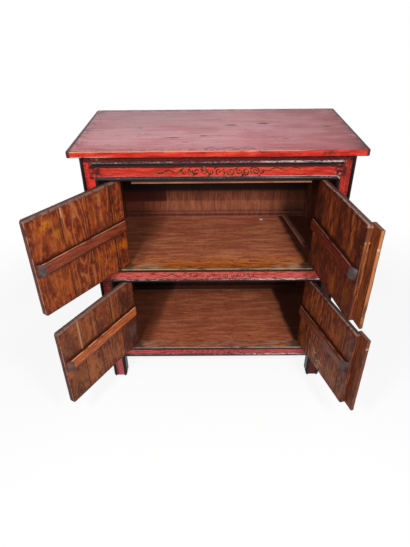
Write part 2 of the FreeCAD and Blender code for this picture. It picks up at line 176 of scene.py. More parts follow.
def board(length, width, depth, arris, ease, seed, plan=(0, 0), nicks=(), worn_end=(1, 0)):
    """Hand-planed board, as rings along its length (l), each over its width (a) and depth (b).
    A ring is a rectangle whose corners are quarter circles. Their radius is that corner's arris,
    swelled by a ripple and by a bell curve at each nick (place along, face, side, depth, reach).
    Within an ease of either end the ring draws in by ease(1 - sin t) as l runs over
    ease(1 - cos t). A plan radius R rounds a side's two corners seen on the face, drawing it in
    by R - sqrt(R^2 - (R - l)^2). Both faces sink by a ripple of 0.25 mm. The inner face also
    falls by drop(1 - e/run)^2 where e, the way to the far end, is under the worn run."""
    bend = np.linspace(0, math.pi / 2, 4)
    near = np.concatenate([ease * (1 - np.cos(bend)), np.arange(ease + 1, ease + 12, 1.6)])
    middle = np.linspace(near[-1], length - near[-1], max(4, int(length / 7)))[1:-1]
    along = np.concatenate([near, middle, length - near[::-1]])
    end = np.minimum(along, length - along)
    drawn = ease * (1 - np.sin(np.arccos(np.clip(1 - end / ease, 0, 1))))
    run, drop = worn_end
    worn_down = drop * np.clip(1 - (length - along) / run, 0, 1) ** 2
    sides = []
    for side in (0, 1):
        short = np.clip(plan[side] - end, 0, None)
        inset = plan[side] - np.sqrt(np.maximum(plan[side] ** 2 - short ** 2, 0))
        sides.append(drawn + inset + 0.2 * (1 + ripple(along, side * 50, 120, seed + 5 + side)))
    a0, a1 = sides[0], width - sides[1]
    quarter = np.linspace(0, math.pi / 2, 4)
    across = np.linspace(0, 1, max(3, int(width / 7)) + 1)
    across[0], across[-1] = 0.01, 0.99
    halves = []
    for face in (0, 1):
        radii = []
        for side in (0, 1):
            radius = arris[face][side] * (1 + 0.35 * ripple(along, face * 40 + side * 90, 60, seed + 11))
            for place_on, nicked_face, nicked_side, deep, reach in nicks:
                if (nicked_face, nicked_side) == (face, side):
                    radius = radius + deep * np.exp(-((along - place_on) / reach) ** 2)
            radii.append(np.maximum(radius - 0.6 * drawn, 0.15)[:, None])
        left, right = radii
        span_a = np.concatenate([
            a0[:, None] + left * (1 - np.cos(quarter)),
            a0[:, None] + left + across * ((a1 - a0)[:, None] - left - right),
            a1[:, None] - right * (1 - np.cos(quarter[::-1])),
        ], axis=1)
        span_b = np.concatenate([
            left * (1 - np.sin(quarter)),
            np.zeros((len(along), len(across))),
            right * (1 - np.sin(quarter[::-1])),
        ], axis=1)
        sunk = drawn[:, None] + 0.12 * (1 + ripple(along[:, None], span_a, 70, seed + face))
        if face:
            sunk = sunk + worn_down[:, None]
        level = np.minimum(span_b + sunk, depth * 0.45)
        halves.append((span_a, depth - level if face else level))
    (low_a, low_b), (high_a, high_b) = halves
    ring_a = np.concatenate([low_a, high_a[:, ::-1]], axis=1)
    ring_b = np.concatenate([low_b, high_b[:, ::-1]], axis=1)
    return np.broadcast_to(along[:, None], ring_a.shape), ring_a, ring_b


def turned(low, high, z):
    """Peg about the door's own axis: a circle at each height over z, smaller at the two tips."""
    tip, taper = 4.6, 1.2
    up = z + np.array([[low], [low + taper], [high - taper], [high]])
    radius = np.array([[tip], [PIN_RADIUS], [PIN_RADIUS], [tip]])
    angle = np.linspace(0, math.tau, 20, endpoint=False)
    return np.broadcast_arrays(up, radius * np.cos(angle), radius * np.sin(angle))


def eased(corners, radius):
    """Outline with each corner P turned into a curve (1-t)^2 P- + 2t(1-t) P + t^2 P+ between
    the points one radius before and after it."""
    corners = np.array(corners, float)
    back = np.roll(corners, 1, 0) - corners
    on = np.roll(corners, -1, 0) - corners
    start = corners + radius * back / np.linalg.norm(back, axis=1, keepdims=True)
    end = corners + radius * on / np.linalg.norm(on, axis=1, keepdims=True)
    t = np.array([0, 1 / 3, 2 / 3, 1])[None, :, None]
    curve = (1 - t) ** 2 * start[:, None] + 2 * t * (1 - t) * corners[:, None] + t ** 2 * end[:, None]
    return curve.reshape(-1, 2)


def stand_open(door, x, y, z):
    """Points of a shut door, swung open round its pin and mirrored for a right door."""
    hand, angle, pin = door_swing(door)
    swung_x = x * math.cos(angle) + y * math.sin(angle) + pin[0]
    swung_y = y * math.cos(angle) - x * math.sin(angle) + pin[1]
    return np.stack(np.broadcast_arrays(hand * swung_x, swung_y, z), -1)


work = SimpleNamespace()  # the material being made, its tree, place and normal


def paint(code):
    """An sRGB hex colour as the linear values that a shader reads."""
    channels = [int(code[i:i + 2], 16) / 255 for i in (1, 3, 5)]
    return tuple(c / 12.92 if c <= 0.04045 else ((c + 0.055) / 1.055) ** 2.4 for c in channels) + (1.0,)


def add(kind, links=(), stops=(), **settings):
    """Adds one node. Its links go by the names or numbers of its sockets, or in their order. What
    is linked is a node, a socket, a hex colour or a plain value."""
    node = work.tree.nodes.new("ShaderNode" + kind)
    for name, value in settings.items():
        setattr(node, name, value)
    if stops:
        ramp = node.color_ramp.elements
        while len(ramp) < len(stops):
            ramp.new(0.5)
        for element, (place, colour) in zip(ramp, stops):
            element.position = place
            element.color = paint(colour)
    pairs = links.items() if isinstance(links, dict) else enumerate(links)
    for key, value in pairs:
        socket = node.inputs[key]
        if isinstance(value, bpy.types.Node):
            value = next(output for output in value.outputs if output.enabled)
        if isinstance(value, bpy.types.NodeSocket):
            work.tree.links.new(value, socket)
        else:
            socket.default_value = paint(value) if isinstance(value, str) else value
    return node


def begin(name, door=None):
    """Opens a material. Gives a place's x, y and z in mm, at rest, and on a door the door's own.
    How far the surface looks right, back and up goes into work."""
    work.material = bpy.data.materials.new(name)
    work.material.use_nodes = True
    work.tree = work.material.node_tree
    work.tree.nodes.clear()
    hand, angle, pin = door_swing(door) if door else (1, 0, (0, 0))
    here = add("TexCoord")
    work.place = add("Mapping", {
        "Vector": here.outputs["Object"],
        "Scale": (hand / MM, 1 / MM, 1 / MM),
        "Rotation": (0, 0, angle),
        "Location": -(Matrix.Rotation(angle, 3, "Z") @ Vector((*pin, 0))),
    })
    work.right, work.back, work.up = add("SeparateXYZ", [here.outputs["Normal"]]).outputs
    return add("SeparateXYZ", [work.place]).outputs


def finish(colour, roughness, height, relief, specular=0.5, coat=(0, 0.03)):
    """Closes the material: its colour and roughness, a relief in mm, how much it mirrors, and the
    weight and roughness of a clear coat. A roughness of (pattern, low, high) runs between two."""
    if isinstance(roughness, tuple):
        roughness = add("MapRange", dict(zip(("Value", "To Min", "To Max"), roughness)))
    bump = add("Bump", {"Height": height, "Strength": 1.0, "Distance": relief * MM})
    surface = add("BsdfPrincipled", {
        "Base Color": colour, "Roughness": roughness, "Normal": bump, "Specular IOR Level": specular,
        "Coat Weight": coat[0], "Coat Roughness": coat[1],
    })
    add("OutputMaterial", {"Surface": surface})
    return work.material


# Patterns. All of them work in millimetres.

def noise(size, detail, seed, rough=0.5, vector=None):
    """Cloudy pattern whose lumps are size mm long along X, Y and Z."""
    spread = add("Mapping", {
        "Vector": work.place if vector is None else vector,
        "Scale": tuple(1 / s for s in size),
        "Location": (seed * 3.7, seed * 5.3, seed * 7.9),
    })
    return add("TexNoise", {"Vector": spread, "Scale": 1.0, "Detail": detail, "Roughness": rough})


def where(*limits):
    """Where every limit is passed: the product of plain strengths, other masks and smooth slopes,
    each given as (value, low, high), which is 0 up to low and 1 from high on."""
    result = None
    for limit in limits:
        if isinstance(limit, tuple):
            slope = dict(zip(("Value", "From Min", "From Max"), limit))
            limit = add("MapRange", slope, interpolation_type="SMOOTHSTEP")
        if result is not None:
            limit = add("Math", [result, limit], operation="MULTIPLY")
        result = limit
    return result


def coats(ground, layers):
    """Each coat covers what lies under it, where its limits are passed. A coat is given as its
    limits and then its colour."""
    for *limits, colour in layers:
        ground = add("Mix", {0: where(*limits), 6: ground, 7: colour}, data_type="RGBA")
    return ground


def line(value, centre, width, soft):
    """A stripe where value passes centre."""
    off = add("Math", [value, centre], operation="SUBTRACT")
    off = add("Math", [off], operation="ABSOLUTE")
    return where((off, width / 2 + soft, width / 2))


def spot(x, z, half_x, half_z, seed, vector=None):
    """An uneven patch round a place, given across and along the grain."""
    vector = work.place if vector is None else vector
    ragged = noise((14, 14, 30), 3, seed, 0.5, vector)
    far = add("VectorMath", [vector, (x, 0, z)], operation="SUBTRACT")
    far = add("VectorMath", [far, (1 / half_x, 0, 1 / half_z)], operation="MULTIPLY")
    far = add("VectorMath", [far], operation="LENGTH").outputs["Value"]
    return where((add("Math", [ragged, 1.8, far], operation="MULTIPLY_ADD"), 2.3, 1.2))


def timber(axes, tones, ring, seed, heart, arch=60, figure=0.3):
    """Plain-sawn board, given the places across it, through it and along its grain: coarse and
    fine streaks of fibre between the first four tones, and over them thin lines of the fifth.
    These are the rings about a heart that wanders, cut by the face. Gives the colour and the
    height of the fibre."""
    tones = tones.split()
    vector = add("CombineXYZ", axes)
    wander = noise((150, 150, 420), 2, seed, 0.5, vector).outputs["Color"]
    wander = add("SeparateColor", [wander]).outputs
    across = add("Math", [wander[0], 60, axes[0]], operation="MULTIPLY_ADD")
    across = add("Math", [across, heart + 30], operation="SUBTRACT")
    deep = add("Math", [wander[1], arch * 2], operation="MULTIPLY")
    radius = add("CombineXYZ", [across, deep])
    radius = add("VectorMath", [radius], operation="LENGTH").outputs["Value"]
    count = add("Math", [radius, math.tau / ring], operation="MULTIPLY")
    ripples = noise((16, 16, 80), 3, seed + 4, 0.5, vector)
    count = add("Math", [ripples, 6, count], operation="MULTIPLY_ADD")
    wave = add("Math", [count], operation="SINE")
    streak = noise((5.5, 5.5, 110), 5, seed + 7, 0.65, vector)
    fibre = noise((2.6, 2.6, 36), 3, seed + 9, 0.7, vector)
    speck = noise((7, 7, 12), 4, seed + 13, 0.7, vector)
    mixed = add("Mix", {0: 0.42, 2: streak, 3: fibre}, data_type="FLOAT")
    mixed = add("Mix", {0: 0.24, 2: mixed, 3: speck}, data_type="FLOAT")
    colour = add("ValToRGB", [mixed], list(zip((0.38, 0.46, 0.53, 0.61), tones)))
    colour = coats(colour, [
        ((wave, 0.55, 0.95), (streak, 0.3, 0.48), figure, tones[4]),
        ((wave, -0.55, -0.95), figure * 0.7, tones[0]),
    ])
    return colour, mixed


# Door wood. Old pine, oiled and stained by handling: warm streaky brown, glowing orange where
# the stain is thin, darker along the edges and where hands and dust have been.

LOOKS = {
    # tones from dark to light and the figure's; ring, its width in mm; figure, its strength on
    # each board; shades, how each board differs; bloom, where the stain has drawn in little and
    # where it has turned purple; edge, the free edge's ground, arris and glow; gloom, how dark
    # it is near its ends; end, the end grain's colour and how level a face shows it; arris, how
    # rubbed that is; marks, place across and up, half sizes, strength and colour
    "upper_left": SimpleNamespace(
        tones="#431208 #742612 #963E1A #B85624 #D28450", ring=9, figure=(0.35, 0.5, 0.7, 0.4),
        shades=((0.3, "#4C1C0C"), (0.2, "#8A3C16"), (0.25, "#7A3014"), (0.3, "#8E4418")),
        bloom=("#C4641C", "#54201E"), edge=("#58382F", "#B48676", "#7A5244"), gloom=0.1,
        end=("#5E3E36", 0.12, 0.24), arris=0.2,
        batten="#4E1A0C #7A2E18 #924228 #AC5834 #B46844", batten_worn="#C48462", batten_end="#625052",
        marks=(
            (300, 908, 24, 18, 0.85, "#CC7A1C"), (262, 862, 18, 26, 0.7, "#B8701A"),
            (336, 886, 20, 30, 0.5, "#A8551C"), (236, 842, 12, 26, 0.6, "#BC661E"),
            (284, 884, 8, 12, 0.8, "#4A1A10"), (252, 884, 8, 10, 0.7, "#5A2412"),
            (-18, 690, 24, 24, 0.85, "#D2660F"), (30, 696, 36, 18, 0.65, "#B65C14"),
            (108, 684, 22, 34, 0.6, "#B65C14"), (18, 749, 10, 10, 0.75, "#C2601A"),
            (282, 664, 40, 44, 0.65, "#B45A1E"), (281, 648, 16, 18, 0.6, "#6A3012"),
            (226, 640, 14, 40, 0.5, "#B0601C"), (148, 694, 14, 12, 0.8, "#2E120A"),
            (246, 846, 14, 22, 0.7, "#54201A"), (322, 792, 52, 14, 0.7, "#4A1A14"),
            (330, 690, 20, 40, 0.75, "#4A1810"), (-12, 733, 8, 8, 0.95, "#1C0A06"),
            (60, 812, 60, 16, 0.5, "#4E1E10"), (208, 700, 6, 26, 0.7, "#3C160C"),
        ),
    ),
    "lower_left": SimpleNamespace(
        tones="#3C160E #74301C #A04C2A #C27040 #CC8656", ring=9, figure=(0.3, 0.35, 0.4, 0.4),
        shades=((0.5, "#4A2014"), (0.2, "#7A3A1C"), (0.25, "#9A5A2E"), (0.4, "#6A3C26")),
        bloom=("#B46230", "#552822"), edge=("#58382F", "#B48676", "#7A5244"), gloom=0.1,
        end=("#7C5C50", 0.12, 0.24), arris=0.2,
        batten="#702E1A #B44E26 #D87038 #F4964E #EE9A58", batten_worn="#F4B286", batten_end="#6E5048",
        marks=(
            (-4, 262, 54, 84, 0.85, "#3E2224"), (-6, 264, 26, 34, 0.75, "#6E5450"),
            (176, 258, 10, 5, 0.7, "#B08060"),
            (206, 283, 14, 9, 0.8, "#34150C"), (20, 430, 40, 50, 0.75, "#35160D"),
            (186, 468, 5, 14, 0.7, "#B87038"), (172, 420, 26, 40, 0.6, "#6A2E28"),
            (240, 440, 26, 34, 0.5, "#A2552A"), (244, 234, 54, 30, 0.6, "#BC7242"),
            (160, 226, 44, 26, 0.5, "#B06A3C"), (330, 430, 34, 60, 0.6, "#5A3426"),
            (250, 384, 40, 14, 0.6, "#3A1C12"), (40, 300, 24, 30, 0.5, "#7A3E30"),
            (300, 262, 40, 30, 0.5, "#9A5C32"), (330, 200, 20, 24, 0.7, "#3E1E14"),
        ),
    ),
    # On a right door also the strip: its glaze, its rubbed edge and the height of a knock
    "upper_right": SimpleNamespace(
        tones="#2A0C06 #4C190D #6E2C15 #9C4C20 #9A5630", ring=9, figure=(0.3, 0.4, 0.3, 0.4),
        shades=((0.5, "#340F08"), (0.3, "#6A2C12"), (0.2, "#4A1A0E"), (0.4, "#3A140B")),
        bloom=("#98461C", "#301110"), edge=("#B0643A", "#2C110A", "#DC8A4A"), gloom=0.7,
        end=("#6E4E44", 0.5, 0.8), arris=0.7,
        batten="#340F09 #581A11 #6C2418 #843620 #763422", batten_worn="#946452", batten_end="#4C4042",
        strip_glaze=(0.14, "#B8602C"), strip_edge="#CC8450", strip_knock=888,
        marks=(
            (96, 866, 12, 56, 0.9, "#B85A2A"), (124, 800, 11, 50, 0.85, "#B05A24"),
            (254, 930, 9, 34, 0.85, "#BC6A30"), (266, 860, 12, 64, 0.85, "#B4602A"),
            (190, 640, 24, 44, 0.75, "#A8581E"), (290, 660, 26, 50, 0.5, "#8A4A1C"),
            (60, 700, 50, 40, 0.6, "#40170D"), (318, 880, 20, 70, 0.7, "#34130B"),
            (170, 840, 20, 60, 0.5, "#34150C"), (0, 860, 40, 60, 0.6, "#2C0E08"),
        ),
    ),
    "lower_right": SimpleNamespace(
        tones="#340E08 #60220F #823618 #B05C2A #CC8654", ring=10, figure=(0.15, 0.9, 0.45, 0.35),
        shades=((0.65, "#3E160A"), (0.2, "#6A2A14"), (0.2, "#6A2E16"), (0.4, "#4E281E")),
        bloom=("#9A4A1C", "#4A1A14"), edge=("#7C4028", "#2C110A", "#A8623A"), gloom=0.3,
        end=("#4A342C", 0.4, 0.7), arris=0.7,
        batten="#3C180E #602A1C #783A26 #945234 #9A5A3C", batten_worn="#A8684C", batten_end="#4A3C3C",
        strip_glaze=(0.24, "#58240F"), strip_edge="#7E4830", strip_knock=486,
        marks=(
            (10, 400, 22, 60, 0.35, "#8A4218"), (100, 430, 26, 60, 0.55, "#98501E"),
            (248, 467, 18, 30, 0.6, "#8A4A20"), (331, 430, 22, 60, 0.65, "#5A403A"),
            (250, 235, 40, 34, 0.65, "#A06A3A"), (343, 250, 22, 30, 0.6, "#5E4A40"),
            (68, 233, 20, 24, 0.7, "#4A342C"), (120, 215, 30, 10, 0.6, "#98735C"),
            (160, 200, 26, 9, 0.6, "#8A6450"), (40, 340, 40, 20, 0.5, "#6A2A1A"),
        ),
    ),
}


def door_scars(door, x, z, ragged):
    """Cracks, scratches and open joints that stand out, as coats."""
    joints = door_joints(door)
    if door == "upper_left":
        return [
            *((line(x, crack, 1.5, 2), 0.75, "#1C0A06") for crack in (14, 24)),
            (line(x, joints[3] - 6, 3, 1.5), (z, 900, 925), 0.8, "#D8B094"),
            (line(x, 232, 3, 2), (z, 800, 900), (ragged, 0.35, 0.55), 0.6, "#C07A50"),
        ]
    if door == "lower_left":
        return [
            (line(x, joints[3] + 4, 8, 2), (z, 360, 380), 0.9, "#D08E64"),
            (line(x, 107, 2, 2), (z, 375, 385), 0.75, "#2A120A"),
            (line(x, 98, 5, 4), (z, 375, 395), 0.6, "#B4703C"),
        ]
    if door == "lower_right":
        loops = line(noise((30, 30, 60), 2, 71), 0.5, 0.024, 0.02)
        return [
            (loops, spot(155, 215, 50, 64, 72), 0.85, "#BE9A78"),
            (loops, spot(322, 250, 30, 50, 72), 0.85, "#966C50"),
        ]
    return []


def door_lacquer(x, edge, seed):
    """Cloudy red of a door's outer face, chipped and worn off along its free edge."""
    wear = noise((9, 9, 16), 5, seed + 12, 0.65)
    cloud = noise((80, 80, 120), 3, seed + 15)
    red = add("ValToRGB", [cloud], [(0.3, "#8E1A16"), (0.5, "#A8241C"), (0.7, "#BC3226")])
    return coats(red, [((wear, 0.6, 0.68), "#3A1410"), (line(x, edge, 6, 3), "#2C1410")])


def door_board_finish(door, number):
    """Bare pine on the inner face and the edges, worn red lacquer on the outer face."""
    x, y, z = begin(f"oiled_pine_and_red_lacquer_{door}_{BOARDS[number]}", door)
    look, joints = LOOKS[door], door_joints(door)
    start, end, edge = joints[number], joints[number + 1], joints[-1]
    dark, pale = look.tones.split()[::3]
    seed = DOORS.index(door) * 5 + number * 1.7 + 1
    colour, height = timber(
        (x, y, z), look.tones, look.ring, seed, (start + end) / 2, 50, look.figure[number])
    blotch = noise((48, 48, 80), 3, seed + 2)
    grime = noise((26, 26, 44), 4, seed + 6, 0.6)
    bloom = noise((15, 15, 26), 4, seed + 8, 0.6)
    fret = noise((5, 5, 24), 4, seed + 30, 0.65)
    layers = [
        look.shades[number],
        ((blotch, 0.5, 0.72), 0.55, pale),
        ((grime, 0.5, 0.66), 0.65, dark),
        ((bloom, 0.54, 0.64), 0.5, look.bloom[0]),
        ((bloom, 0.46, 0.36), 0.55, look.bloom[1]),
    ]
    for index, (*patch, strength, tone) in enumerate(look.marks):
        if start - 25 < patch[0] < end + 25:
            layers.append((spot(*patch, seed + index), (fret, 0.38, 0.5), strength, tone))
    # Darker in a band along the batten; dust and wax have gathered at the ends, the joints and the rim
    z0, z1 = DOOR_HEIGHTS[door.split("_")[0]]
    batten = BATTEN_MIDDLES[door.split("_")[0]]
    ragged = noise((22, 22, 22), 4, seed + 20, 0.6)
    uneven = add("Math", [ragged, 36, z], operation="MULTIPLY_ADD")
    layers += [
        (line(uneven, batten + 18, 46, 10), 0.55, dark),
        ((uneven, z0 + 34, z0 + 16), 0.6, dark),
        ((uneven, z1 - 2, z1 + 16), 0.5, dark),
        *((line(x, joint, 1.6, 1.6), 0.8, "#170805") for joint in joints[1:-1]),
        ((x, edge - 22, edge - 4), (ragged, 0.4, 0.6), 0.6, dark),
    ]
    layers += door_scars(door, x, z, ragged)
    # The free edge is rubbed, and end grain has greyed
    rubbed = noise((8, 8, 30), 4, seed + 3, 0.6)
    drawn = noise((3.5, 5, 80), 4, seed + 24, 0.6)
    rim, arris, glow = look.edge
    end_tone, *level = look.end
    free_edge = (x, edge - 1.6, edge - 0.6)
    layers += [
        (free_edge, 0.5, rim),
        (free_edge, (drawn, 0.5, 0.58), 0.75, dark),
        (free_edge, (drawn, 0.46, 0.38), 0.7, glow),
        (free_edge, (uneven, z1 - 44, z1 - 30), look.gloom, "#5E2A1E"),
        (free_edge, (uneven, z0 + 130, z0 + 90), look.gloom, "#66281A"),
        ((x, edge - 3.4, edge - 1.6), (y, 7.6, 8.8), (rubbed, 0.38, 0.5), 0.85, arris),
        ((work.up, *level), 0.85, end_tone),
        ((work.up, 0.6, 0.9), (ragged, 0.5, 0.62), 0.5, "#2E1C18"),
        ((work.up, 0.5, 0.9), (y, 3, -5), 0.7, "#2A1A16"),
        ((work.up, 0.2, 0.5), line(y, 6.5, 2.5, 1.5), (rubbed, 0.4, 0.5), look.arris, "#B8948A"),
        ((work.up, 0.12, 0.22), (work.up, 0.9, 0.75), (rubbed, 0.46, 0.56), 0.6, "#96695A"),
    ]
    if door == "upper_right":
        layers += [
            (line(x, joints[2], 3, 2), (z, z1 - 12, z1 - 3), 0.9, "#1A0C08"),
            (spot(344, 888, 20, 3.2, 5), (x, 340, 343), (rubbed, 0.4, 0.5), 0.75, "#D8A488"),
            ((z, z1 - 14, z1 - 6), (x, edge - 7, edge - 3), (work.up, 0.4, 0.1), 0.7, "#C89A84"),
            # A small pale spot near the hinge: a painted glint
            (spot(-15, 730, 3, 3, 9), 0.9, "#C8B4A0"),
        ]
    layers.append(((y, -8.6, -9.6), door_lacquer(x, edge, seed)))
    return finish(coats(colour, layers), (grime, 0.4, 0.75), height, 0.6, specular=0.22)


def door_batten_finish(door):
    """Planed batten, darkened by handling, with pale worn arrises, greyed sloping ends and painted
    shade on its lower bevel, its underside and its lower edge.
    """
    x, y, z = begin(f"handled_pine_{door}_batten", door)
    look = LOOKS[door]
    dark, worn = look.batten.split()[0], look.batten_worn
    colour, height = timber((z, y, x), look.batten, 9, DOORS.index(door) + 30, 760, 30, 0.15)
    wear = noise((34, 5, 5), 4, 3)
    dust = noise((60, 14, 14), 3, 6)
    middle = BATTEN_MIDDLES[door.split("_")[0]]
    free = DOOR_EDGES[door.split("_")[1]][1] - BATTEN_INSET + BATTEN_SLOPES[1] * HALF_DOOR
    slope = add("Math", [y, BATTEN_SLOPES[1], x], operation="MULTIPLY_ADD")
    free_end = (slope, free - 2.5, free)
    layers = [
        ((dust, 0.5, 0.7), 0.5, dark),
        # Painted shade over the lower bevel
        ((z, middle - 8, middle - 22), 0.5, dark),
        ((work.up, 0.25, 0.4), 0.35, dark),
        ((work.up, 0.7, 0.92), 0.9, "#2A120C"),
        (line(z, middle + 14, 1, 1), (wear, 0.46, 0.58), 0.35, worn),
        (line(z, middle + 22, 1.4, 0.9), (y, 19.5, 21), (wear, 0.36, 0.52), 0.85, worn),
        # Painted shade on the faces that look down and along the lower edge
        ((work.up, -0.15, -0.4), 0.5, "#2A120A"),
        ((z, middle - 16, middle - 23.2), 0.45, "#2A120A"),
        (free_end, 0.92, look.batten_end),
        (free_end, (dust, 0.46, 0.58), 0.6, "#382C2C"),
    ]
    return finish(coats(colour, layers), 0.45, height, 0.3, specular=0.25)


def strip_finish(door):
    """Pine strip on the meeting edge: brown inside, lit along its rubbed edge, dark outside."""
    x, y, z = begin(f"worn_pine_{door}_strip", door)
    look, end = LOOKS[door], STRIP_SPAN[1]
    colour, height = timber(
        (x, y, z), "#3C140A #682A14 #84401E #A86234 #AC6638", 8, 44 + DOORS.index(door), 400, 30)
    wear = noise((6, 6, 30), 4, 8)
    patch = noise((20, 20, 90), 3, 12)
    drawn = noise((3.5, 5, 80), 4, 24, 0.6)
    cloud = noise((60, 60, 120), 3, 21)
    red = add("ValToRGB", [cloud], [(0.3, "#7E1914"), (0.7, "#A82A20")])
    layers = [
        look.strip_glaze,
        ((patch, 0.5, 0.65), 0.6, "#3C170B"),
        (line(x, end - 8, 1.6, 1.6), 0.7, "#2A0E06"),
        ((x, end - 2, end - 0.8), (patch, 0.66, 0.45), 0.7, look.strip_edge),
        (line(x, end - 2.5, 1.5, 1.5), (y, -12.5, -11), (wear, 0.54, 0.62), 0.6, "#B88A64"),
        ((x, end - 3, end - 1), (drawn, 0.48, 0.4), 0.7, look.strip_edge),
        ((x, end - 4, end - 1), line(z, look.strip_knock, 4, 4), (wear, 0.42, 0.5), 0.85, "#E0B490"),
        ((work.up, 0.6, 0.9), 0.8, "#6C524A"),
        ((y, -20.6, -22), red),
        ((y, -18.5, -20.5), (x, end - 5, end - 2), 0.9, "#2C201A"),
    ]
    return finish(coats(colour, layers), 0.55, height, 0.4, specular=0.2)


# Lacquer. Red over a dark ground, rubbed through by a century of cleaning.

def sill_wood(x, y, z):
    """Upper faces of the rails in the openings: rubbed bare, orange above and grey below."""
    colour, _ = timber((y, z, x), "#5A2410 #96481F #B4662E #CC8A50 #D08A48", 8, 51, -222, 40, 0.4)
    side = add("Math", [x], operation="ABSOLUTE")
    pale = noise((50, 9, 9), 3, 17)
    streaky = noise((40, 3.5, 9), 4, 27, 0.6)
    lower = (z, 300, 200)
    return coats(colour, [
        ((streaky, 0.5, 0.6), 0.7, "#D8702C"),
        ((streaky, 0.46, 0.38), 0.75, "#7A2012"),
        ((side, 190, 260), (pale, 0.4, 0.56), 0.75, "#C8A082"),
        (lower, (pale, 0.36, 0.5), 0.55, "#B87C70"),
        (lower, (streaky, 0.5, 0.42), 0.6, "#5A4030"),
        (lower, (streaky, 0.56, 0.62), 0.6, "#CC907C"),
        ((side, 312, 345), 0.75, "#2E2A24"),
    ])


